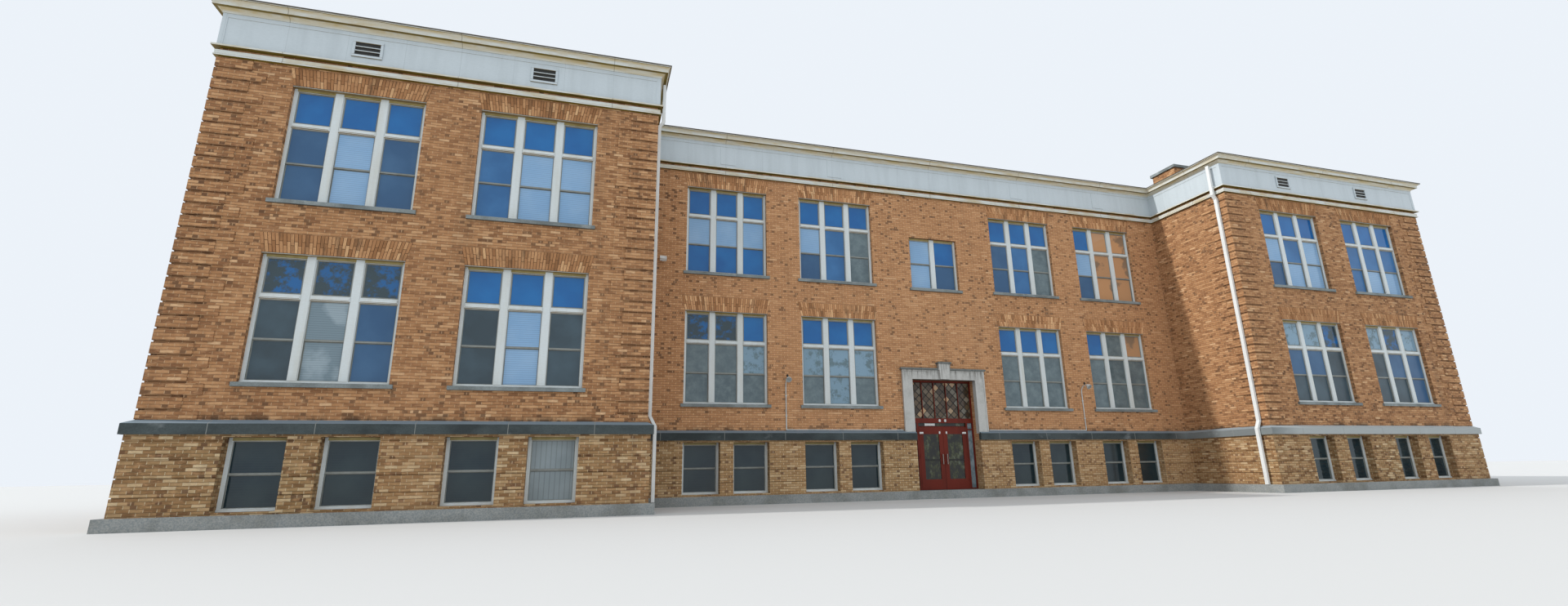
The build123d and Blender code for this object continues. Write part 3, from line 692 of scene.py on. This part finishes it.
def window_joinery(width, height, lights, transom):
    """Frame, mullions, transom bars and sashes of one window, and its panes' places."""
    made = bmesh.new()
    add_box(made, (0, 0, 0), (width, frame_depth, height))
    clear = (width - 2 * casing - (lights - 1) * mullion) / lights
    columns = [(left, left + clear) for left in
               (casing + number * (clear + mullion) for number in range(lights))]
    head, bar_top = height - casing, height - transom_drop
    bar_foot = bar_top - transom_bar
    light_top = bar_foot if transom else head
    levels = [sub_sill, bar_foot, bar_top, head] if transom else [sub_sill, head]
    cuts = [((place, 0, 0), (1, 0, 0)) for column in columns for place in column]
    cuts += [((0, 0, level), (0, 0, 1)) for level in levels]
    for point, normal in cuts:
        bmesh.ops.bisect_plane(made, geom=made.verts[:] + made.edges[:] + made.faces[:],
                               plane_co=point, plane_no=normal)

    def front_faces(low, high, left=0.0, right=width):
        return [face for face in made.faces if middle_of(face).y < 0.0001
                and low < middle_of(face).z < high and left < middle_of(face).x < right]

    lower = [front_faces(sub_sill, light_top, *column) for column in columns]
    upper, bars = [], []
    if transom:
        upper = [front_faces(bar_top, head, *column) for column in columns]
        bars = [front_faces(bar_foot, bar_top, *column) for column in columns]
    mullions = [front_faces(sub_sill, height, right, right + mullion) for _, right in columns[:-1]]
    sill_faces = front_faces(0, sub_sill)
    for strip in mullions:
        inset(made, strip, ((0.005, 0.008),), bmesh.ops.inset_region)
    for bar in bars:
        inset(made, bar, bar_steps)
    inset(made, sill_faces, ((0.003, 0.03),), bmesh.ops.inset_region)
    panes = []

    def sash(faces, row, column, steps):
        inset(made, faces, steps)
        for face in faces:
            panes.append((row, column, *extent(face.verts)))

    for column, faces in enumerate(upper):
        inset(made, faces, light_stops)
        sash(faces, 0, column, fixed_sash)
    for column, faces in enumerate(lower):
        inset(made, faces, light_stops)
        low, high = (corner.z for corner in extent(faces[0].verts))
        behind = middle_of(faces[0]).y - 0.0001
        left, right = columns[column]

        def parts():
            found = [f for f in made.faces if f.normal.y < -0.9 and middle_of(f).y > behind
                     and low < middle_of(f).z < high and left + 0.1 < middle_of(f).x < right - 0.1]
            return sorted(found, key=lambda f: -middle_of(f).z)

        for level in ((low + high - meeting_rail) / 2, (low + high + meeting_rail) / 2):
            geometry = {item for f in parts() for item in (f, *f.edges, *f.verts)}
            bmesh.ops.bisect_plane(made, geom=list(geometry), plane_co=(0, 0, level),
                                   plane_no=(0, 0, 1))
        top, rail, bottom = parts()
        inset(made, [rail], ((0.002, 0.006),))
        sash([top], 1, column, sliding_sash)
        inset(made, [bottom], ((0.0, lower_sash_drop),))
        sash([bottom], 2, column, sliding_sash)
    for face in made.faces:
        centre = middle_of(face)
        # Faces set back in the frame take the copy with painted shade.
        if trim_depth < centre.y < frame_depth - 0.005:
            face.material_index = 1
        # The soffit under the head takes the copy with painted shade.
        under_head = centre.z > head - 0.003 and abs(face.normal.x) < 0.9
        if centre.y < trim_depth and under_head:
            if any(left < centre.x < right for left, right in columns):
                face.material_index = 2
    if transom:
        soften(made, add_box(made, (0, -0.105, height - head_board), (width, 0, height)), 0.002)
    return mesh_of("window_unit", made), panes


# What each pane of the front windows shows, top lights, upper sashes, lower sashes, left to right
FRONT_PANES = {
    "upper": ("sss dpd dpd", "sss bpp bpp", "sss ppp sss", "sss pbg dbg",
              "sss dbg dbg", "soo poo doo", "sss pbp dpp", "sss bbb bpp"),
    "ground": ("ttt nqd nqd", "sss npn npn", "tts ggh ggg", "sss hhh ghg",
               "sss ggg ggg", "sgo ggg ggg", "hht ddn nnn", "hth ndd nnd"),
    "stair": ("ps pd",),
    "basement": ("v v",) * 3 + ("w w",) + ("v v",) * 12,
}


def pane_kind(patterns, number, row, column):
    """The letter of one pane from its window's pattern, or by chance past the patterns' end."""
    plain = [pattern for pattern in patterns if "o" not in pattern and "w" not in pattern]
    pattern = patterns[number] if number < len(patterns) else chance.choice(plain)
    rows = pattern.split()
    return rows[row - (3 - len(rows))][column]


def dress_windows(storey, lights, transom):
    """Joinery and panes for all the windows of one storey."""
    openings = [Opening(box) for box in islands(f"{storey}_window_frames")]
    sides = ["front", "right", "rear", "left"]
    openings.sort(key=lambda o: (sides.index(o.side),
                                 round(o.middle.x if o.side == "front" else o.middle.y, 2),
                                 round(o.middle.x, 2), round(o.middle.z, 2)))
    joinery, glazing = bmesh.new(), bmesh.new()
    tone = glazing.faces.layers.float.new("tone")
    units = {}
    letters = list(PANES)
    for number, opening in enumerate(openings):
        key = (round(opening.width, 3), round(opening.height, 3))
        if key not in units:
            units[key] = window_joinery(opening.width, opening.height, lights, transom)
        mesh, panes = units[key]
        stamp(joinery, mesh, opening.matrix)
        for row, column, low, high in panes:
            verts = box_between(glazing, (low.x, high.x), (low.y - 0.004, low.y - 0.001),
                                (low.z, high.z))
            move(glazing, verts, opening.matrix)
            kind = pane_kind(FRONT_PANES[storey], number, row, column)
            share = chance.random()
            for face in faces_of(verts):
                face.material_index = letters.index(kind)
                face[tone] = share
    for mesh, _ in units.values():
        bpy.data.meshes.remove(mesh)
    piece = new_piece(f"{storey}_window_joinery", joinery, "window_paint",
                      [LOOKS["window_paint"], SHADED_SASH_PAINT, HEAD_SOFFIT_SHADE_PAINT])
    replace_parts(piece, f"{storey}_window_frames")
    piece = new_piece(f"{storey}_window_panes", glazing, "window_glass", list(PANES.values()))
    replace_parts(piece, f"{storey}_window_glass")


for kind in (("upper", 3, True), ("ground", 3, True), ("stair", 2, False), ("basement", 1, False)):
    dress_windows(*kind)


def arch_bricks(storey):
    """The splayed soldier bricks of the flat arches, laid in two heights that break joint."""
    made = bmesh.new()
    tone = made.faces.layers.float.new("tone")
    windows = [Opening(box) for box in islands(f"{storey}_window_frames")]
    pitch, gap, relief = 0.0677, 0.005, 0.006
    for box in islands(f"{storey}_flat_arches"):
        arch = Opening(box)
        window = min(windows, key=lambda w: (w.middle.xy - arch.middle.xy).length)
        splay = (arch.width - window.width) / 2
        count = round(window.width / pitch)
        laid = add_box(made, (0, relief, 0), (arch.width, arch.depth, arch.height))
        for vert in laid:
            if vert.co.z < arch.height / 2:
                vert.co.x += splay if vert.co.x < arch.width / 2 else -splay
        # The backing takes tone 0, painted shade for the gaps between the bricks.
        for face in faces_of(laid):
            face[tone] = 0.0

        def lean(share, level):
            rise = level / arch.height
            return splay * (1 - rise) + share * (window.width + 2 * splay * rise)

        for number in range(count):
            split = arch.height * (0.6 if number % 2 else 0.4)
            for low, high in ((0.0, split), (split, arch.height)):
                brick = add_box(made, (0, 0, 0), (1, relief * 2, 1))
                for vert in brick:
                    at_right, level = vert.co.x > 0.5, high if vert.co.z > 0.5 else low
                    vert.co.z = level + (gap if level == low else -gap)
                    edge = lean((number + at_right) / count, level)
                    vert.co.x = edge + (-gap if at_right else gap)
                share = 0.12 + 0.88 * chance.random()
                for face in faces_of(brick):
                    face[tone] = share
                laid += brick
        move(made, laid, arch.matrix)
    piece = new_piece(f"{storey}_arch_bricks", made, "arch_brick")
    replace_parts(piece, f"{storey}_flat_arches")


for storey in ("upper", "ground"):
    arch_bricks(storey)


def plan_outline(offset):
    """The corners of the H-shaped plan, moved outwards by the offset."""
    a, b = half_length + offset, centre_half - offset
    c, d = wing_face + offset, centre_face + offset
    return [(-a, -c), (-b, -c), (-b, -d), (b, -d), (b, -c), (a, -c),
            (a, c), (b, c), (b, d), (-b, d), (-b, c), (-a, c)]


def add_ring(made, inner, outer, low, high):
    """A band round the building between two offsets and two levels."""
    loops = []
    for offset in (inner, outer):
        verts = [made.verts.new((x, y, low)) for x, y in plan_outline(offset)]
        loops.append([made.edges.new(ends) for ends in zip(verts, verts[1:] + verts[:1])])
    flat = bmesh.ops.bridge_loops(made, edges=loops[0] + loops[1])["faces"]
    raised = bmesh.ops.extrude_face_region(made, geom=flat)["geom"]
    verts = [item for item in raised if isinstance(item, bmesh.types.BMVert)]
    bmesh.ops.translate(made, vec=(0, 0, high - low), verts=verts)
    facing_out(made)


def basement_courses():
    """The basement walls with their recessed joints cut in."""
    pitch, height, depth = 0.35, 0.025, 0.022
    cutter = bmesh.new()
    level = plinth_top + pitch
    while level < belt_bottom - height:
        add_ring(cutter, basement_out - depth, basement_out + 0.05, level, level + height)
        level += pitch
    cutter_mesh = mesh_of("joint_cutter", cutter)
    cutter_object = put("joint_cutter", cutter_mesh)
    for word in ("front", "rear", "end", "side"):
        node = f"basement_{word}_walls"
        piece = new_piece(f"basement_{word}_courses", copy_of(node), "basement_brick")
        cut = piece.modifiers.new("recessed joints", "BOOLEAN")
        cut.operation, cut.solver, cut.object = "DIFFERENCE", "EXACT", cutter_object
        bpy.context.view_layer.update()
        grooved = piece.evaluated_get(bpy.context.evaluated_depsgraph_get())
        grooved = bpy.data.meshes.new_from_object(grooved)
        piece.modifiers.remove(cut)
        piece.data = grooved
        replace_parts(piece, node)
    bpy.data.objects.remove(cutter_object)
    bpy.data.meshes.remove(cutter_mesh)


basement_courses()


def dress_cad():
    """Give each CAD node its look, for those that still show."""
    for row in frame["record"]["subparts"]:
        node = frame["nodes"][row["node"]]
        node.data.materials.clear()
        node.data.materials.append(LOOKS[row["material_slot"]])


dress_cad()


def frieze_boards():
    """The raised top rail, corner boards and blanked panels of the frieze."""
    made = bmesh.new()
    proud, rail, board = 0.008, 0.105, 0.11
    panel_places, panel_half, panel_rise = (-7.24, -3.585, 3.585, 7.24), 0.25, 0.31
    out = frieze_out + proud
    add_ring(made, frieze_out - 0.002, out, frieze_top - rail, frieze_top)
    levels = (frieze_bottom + 0.004, frieze_top - rail)
    for side_x in (-1, 1):
        for side_y in (-1, 1):
            for corner_x, inward in ((half_length, -side_x), (centre_half, side_x)):
                x = side_x * corner_x - inward * out
                y = side_y * (wing_face + out)
                face = y - side_y * proud
                box_between(made, (x, x + inward * board), (y, face), levels)
                box_between(made, (x, x + inward * proud), (face, y - side_y * board), levels)
    level = (frieze_bottom + frieze_top) / 2
    for middle in panel_places:
        for side_y in (-1, 1):
            deep = (side_y * (centre_face + frieze_out - 0.002), side_y * (centre_face + out))
            soften(made, box_between(made, (middle - panel_half, middle + panel_half), deep,
                                     (level - panel_rise, level + panel_rise)), 0.003)
    new_piece("frieze_boards", made, "frieze_paint")


frieze_boards()


def ringed(made, places, radii, sides):
    """A round piece skinned over a row of rings, closed at its ends."""
    rings = []
    for number, (place, radius) in enumerate(zip(places, radii)):
        at_end = number in (0, len(places) - 1)
        rings.append(bmesh.ops.create_circle(made, cap_ends=at_end, segments=sides, radius=radius,
                                             matrix=place)["verts"])
    for pair in zip(rings, rings[1:]):
        edges = []
        for ring in pair:
            inside = set(ring)
            edges += {edge for vert in ring for edge in vert.link_edges
                      if edge.other_vert(vert) in inside}
        bmesh.ops.bridge_loops(made, edges=edges)


def turn_to(axis):
    return axis.to_track_quat("Z", "X").to_matrix().to_4x4()


def tube(made, path, radius, sides=8):
    """A round bar along a path."""
    points = [Vector(point) for point in path]
    ahead = [after - before for before, after in zip(points[:1] + points, points[1:] + points[-1:])]
    places = [Matrix.Translation(point) @ turn_to(way) for point, way in zip(points, ahead)]
    ringed(made, places, [radius] * len(points), sides)


def turned(made, foot, axis, profile, sides=16):
    """A round piece from rings given by radius and distance along an axis."""
    start = Matrix.Translation(Vector(foot)) @ turn_to(Vector(axis))
    places = [start @ Matrix.Translation((0, 0, distance)) for _, distance in profile]
    ringed(made, places, [radius for radius, _ in profile], sides)


def small_boxes(name, slot, boxes, material=None, edge=0.003, rides="building"):
    """A piece from softened boxes, each given by two corners."""
    made = bmesh.new()
    for corners in boxes:
        soften(made, add_box(made, *corners), edge)
    return new_piece(name, made, slot, [material] if material else None, rides)


def vent_louvres():
    """Framed vents in the frieze, with two sloping blades before a dark sheet of painted shade."""
    rim, lap, blade, thick, blade_rise, blade_tilt = 0.06, 0.002, 0.034, 0.008, 0.056, 25
    frames, shade_sheets = bmesh.new(), bmesh.new()
    for low, high in islands("frieze_vents"):
        middle = (low + high) / 2
        outward = -1 if middle.y < 0 else 1
        wall_y, face_y = sorted((low.y, high.y), key=abs)
        behind = wall_y - outward * lap
        deep = (behind, face_y + outward * 0.006)
        sides = [((low.x, high.x), (z, z + rim)) for z in (low.z, high.z - rim)]
        sides += [((x, x + rim), (low.z + rim, high.z - rim)) for x in (low.x, high.x - rim)]
        for across, up in sides:
            soften(frames, box_between(frames, across, deep, up), 0.004)
        # A dark sheet of painted shade fills the opening behind the blades.
        soften(shade_sheets, box_between(shade_sheets, (low.x + rim - lap, high.x - rim + lap),
                                  (behind, wall_y + outward * 0.003),
                                  (low.z + rim - lap, high.z - rim + lap)), 0.0005)
        reach = Vector(((high.x - low.x) / 2 - rim + lap, thick / 2, blade / 2))
        for number in (-1, 1):
            verts = add_box(frames, -reach, reach)
            place = Vector((middle.x, (wall_y + face_y) / 2 + outward * 0.004,
                            middle.z + number * blade_rise))
            tilt = Matrix.Rotation(outward * math.radians(blade_tilt), 4, "X")
            move(frames, verts, Matrix.Translation(place) @ tilt)
    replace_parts(new_piece("vent_louvres", frames, "frieze_paint"), "frieze_vents")
    new_piece("vent_painted_shade", shade_sheets, "frieze_paint", [DARK_METAL])


vent_louvres()


def entrance_leads():
    """Diagonal leads and upright bars in front of the transom light."""
    low, high = Vector((-1.11, -5.04, 2.496)), Vector((1.11, -5.032, 3.665))
    half_lead, shortest, half_bar, bar_face = 0.009, 0.05, 0.013, -5.07
    made = bmesh.new()
    for slope in (-1, 1):
        # x + slope * z stays at the total along one lead
        reach = [x + slope * z for x in (low.x, high.x) for z in (low.z, high.z)]
        first, last = math.floor(min(reach) / lead_pitch), math.ceil(max(reach) / lead_pitch)
        for number in range(first, last + 1):
            total = number * lead_pitch
            at_sides = [(x, (total - x) * slope) for x in (low.x, high.x)]
            ends = [(x, z) for x, z in at_sides if low.z <= z <= high.z]
            at_levels = [(total - slope * z, z) for z in (low.z, high.z)]
            ends += [(x, z) for x, z in at_levels if low.x < x < high.x]
            if len(ends) < 2:
                continue
            (x0, z0), (x1, z1) = ends[:2]
            length = math.hypot(x1 - x0, z1 - z0)
            if length < shortest:
                continue
            verts = add_box(made, (-length / 2, low.y, -half_lead), (length / 2, high.y, half_lead))
            turn = Matrix.Rotation(-math.atan2(z1 - z0, x1 - x0), 4, "Y")
            move(made, verts, Matrix.Translation(((x0 + x1) / 2, 0, (z0 + z1) / 2)) @ turn)
    new_piece("transom_leads", made, "entrance_paint", [DARK_METAL])
    bars = [((x - half_bar, bar_face, low.z - 0.004), (x + half_bar, -5.036, high.z + 0.004))
            for x in (-0.666, -0.222, 0.222, 0.666)]
    bars += [((x - 0.092, bar_face, 2.12), (x + 0.092, -5.034, 2.16)) for x in (-1.02, 1.02)]
    small_boxes("screen_bars", "entrance_paint", bars)


entrance_leads()


def entrance_fittings():
    """Notice plate, small lights, threshold, raised edge of the surround, and doors' fittings."""
    screen_face, stone_face = -5.079, -5.42
    small_boxes("notice_plate", "entrance_paint", [((-0.62, -5.04, 2.262), (-0.25, -5.032, 2.338))],
                PALE_METAL, 0.001)
    small_boxes("screen_lights", "lamp_metal",
                [((x - 0.035, -5.13, 2.375), (x + 0.035, screen_face, 2.465)) for x in (-0.1, 0.1)],
                PALE_METAL, 0.014)
    small_boxes("threshold", "concrete", [((-1.1, -5.13, 0.249), (1.1, -4.99, 0.2565))], DARK_METAL,
                0.002)
    edge, outer, keystone_half = 0.05, 1.508, 0.2
    front, back, top = stone_face - 0.012, stone_face + 0.002, lintel_top - 0.06
    inner, foot = outer - edge, bands_foot + 0.08
    strips = [((x, front, foot), (x + edge, back, top)) for x in (-outer, inner)]
    strips += [((x, front, top - edge), (x + inner - keystone_half, back, top))
               for x in (-inner, keystone_half)]
    small_boxes("surround_edges", "surround_stone", strips)
    for word, side in (("left", -1), ("right", 1)):
        low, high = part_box(f"{word}_door_glass")
        bars = [((low.x - 0.004, screen_face, 1.15), (high.x + 0.004, -5.066, 1.2))]
        small_boxes(f"{word}_push_bar", "pull_metal", bars, DARK_METAL, 0.004, f"{word}_door")
        closers = []
        for reach, closer_top in (((0.71, 0.85), 2.06), ((0.1, 0.15), 2.08)):
            near, far = sorted(side * x for x in reach)
            closers.append(((near, -5.1, 2.0), (far, screen_face, closer_top)))
        small_boxes(f"{word}_closer", "pull_metal", closers, PALE_METAL, 0.005, f"{word}_door")


entrance_fittings()


def wall_lamps():
    """Bell-shaped lamps on bent conduits beside the entrance, and a floodlight on the left."""
    made, dark, flood = bmesh.new(), bmesh.new(), bmesh.new()
    wall_y = -centre_face
    lamp_x, foot, jamb_x = 5.4125, 2.1, 1.56
    # Pairs of distance from the wall and height
    bend = ((0, foot), (0, 3.4), (0.02, 3.51), (0.08, 3.59), (0.17, 3.635), (0.3, 3.64))
    shade = [(0.02, 0.0), (0.032, 0.015), (0.045, 0.05), (0.082, 0.11), (0.09, 0.14), (0.09, 0.15),
             (0.083, 0.15), (0.06, 0.1), (0.035, 0.07)]
    switch = [(0.014, 0.0), (0.014, 0.03), (0.034, 0.035), (0.034, 0.085), (0.022, 0.1)]
    for side in (-1, 1):
        x, near = side * lamp_x, wall_y - 0.016
        tube(made, [(x, near - out, level) for out, level in bend], 0.016, 10)
        tube(made, [(x - side * 0.01, near, foot), (side * jamb_x, near, foot)], 0.015)
        turned(made, (x, near - 0.28, 3.645), (side * 0.12, -0.72, -0.62), shade)
        turned(dark, (x, near - 0.19, 3.64), (0, 0, 1), switch, 12)
        for level in (2.5, 3.1):
            soften(made, add_box(made, (x - 0.032, wall_y - 0.034, level),
                                 (x + 0.032, wall_y + 0.002, level + 0.025)), 0.004)
    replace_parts(new_piece("conduit_lamps", facing_out(made), "lamp_metal"), "wall_lamps")
    new_piece("lamp_switches", facing_out(dark), "lamp_metal", [DARK_METAL])
    place = Vector((-9.22, wall_y, 7.14))
    bracket = [(0.045, -0.002), (0.045, 0.02), (0.02, 0.03), (0.02, 0.07)]
    turned(flood, place, (0, -1, 0), bracket, 12)
    lamp = add_box(flood, (-0.1, -0.07, -0.06), (0.1, 0.03, 0.07))
    front = [face for face in faces_of(lamp) if middle_of(face).y < -0.06]
    inset(flood, front, ((0.012, 0.0), (0.004, -0.012)))
    # The lamp is still at the middle of the plan, the bracket at the wall
    lamp = [vert for vert in flood.verts if abs(vert.co.x) < 0.2]
    tilt = Matrix.Rotation(math.radians(-35), 4, "X")
    move(flood, lamp, Matrix.Translation(place + Vector((0, -0.11, 0))) @ tilt)
    new_piece("floodlight", facing_out(flood), "lamp_metal", [PALE_METAL])


wall_lamps()


def studio():
    """A plain pale floor, a pale backdrop, soft light from all round and one lamp from the left."""
    made = bmesh.new()
    bmesh.ops.create_grid(made, x_segments=1, y_segments=1, size=400.0)
    mesh = mesh_of("studio_floor", made)
    floor_grey = (196, 197, 196)
    look = Look("studio_floor", roughness=0.9, specular=0.1)
    mesh.materials.append(look.done(srgb(*floor_grey)))
    floor = put("studio_floor", mesh)

    world = bpy.data.worlds.new("studio")
    bpy.context.scene.world = world
    world.use_nodes = True
    soft_light, backdrop = (1.1, 1.14, 1.19, 1.0), (0.84, 0.89, 0.95, 1.0)
    nodes = Nodes(world.node_tree)
    path = nodes.add("LightPath").node.outputs
    seen = nodes.most(path["Is Camera Ray"], path["Is Glossy Ray"])
    seen = nodes.most(seen, path["Is Transmission Ray"])
    colour = nodes.mix(seen, soft_light, backdrop)
    nodes.end("OutputWorld", nodes.add("Background", {"Color": colour}))

    lamp = bpy.data.lights.new("key_lamp", "SUN")
    lamp.energy = 2.6
    lamp.angle = math.radians(1.5)
    lamp.color = (1.0, 0.97, 0.94)
    sun = put("key_lamp", lamp)
    towards = Vector((0.85, -0.06, -0.55))
    sun.rotation_mode = "QUATERNION"
    sun.rotation_quaternion = towards.to_track_quat("-Z", "Y")


def camera():
    """The photograph's viewpoint: low and close in front of the left wing, looking right and up."""
    place, lens, sensor = (-11.206, -24.400, 0.895), 15.03, 36.0
    yaw, pitch, roll = 0.295, 0.252, -0.017
    level, rise = math.cos(pitch), math.sin(pitch)
    ahead = Vector((math.sin(yaw) * level, math.cos(yaw) * level, rise))
    right = Vector((math.cos(yaw), -math.sin(yaw), 0))
    turn = Matrix((right, right.cross(ahead), -ahead)).transposed().to_4x4()
    data = bpy.data.cameras.new("camera")
    data.sensor_fit, data.sensor_width, data.lens = "HORIZONTAL", sensor, lens
    data.clip_end = 1000.0
    viewer = put("camera", data)
    viewer.matrix_world = Matrix.Translation(place) @ turn @ Matrix.Rotation(roll, 4, "Z")
    bpy.context.scene.camera = viewer


studio()
camera()
bpy.context.scene.view_settings.view_transform = "Standard"
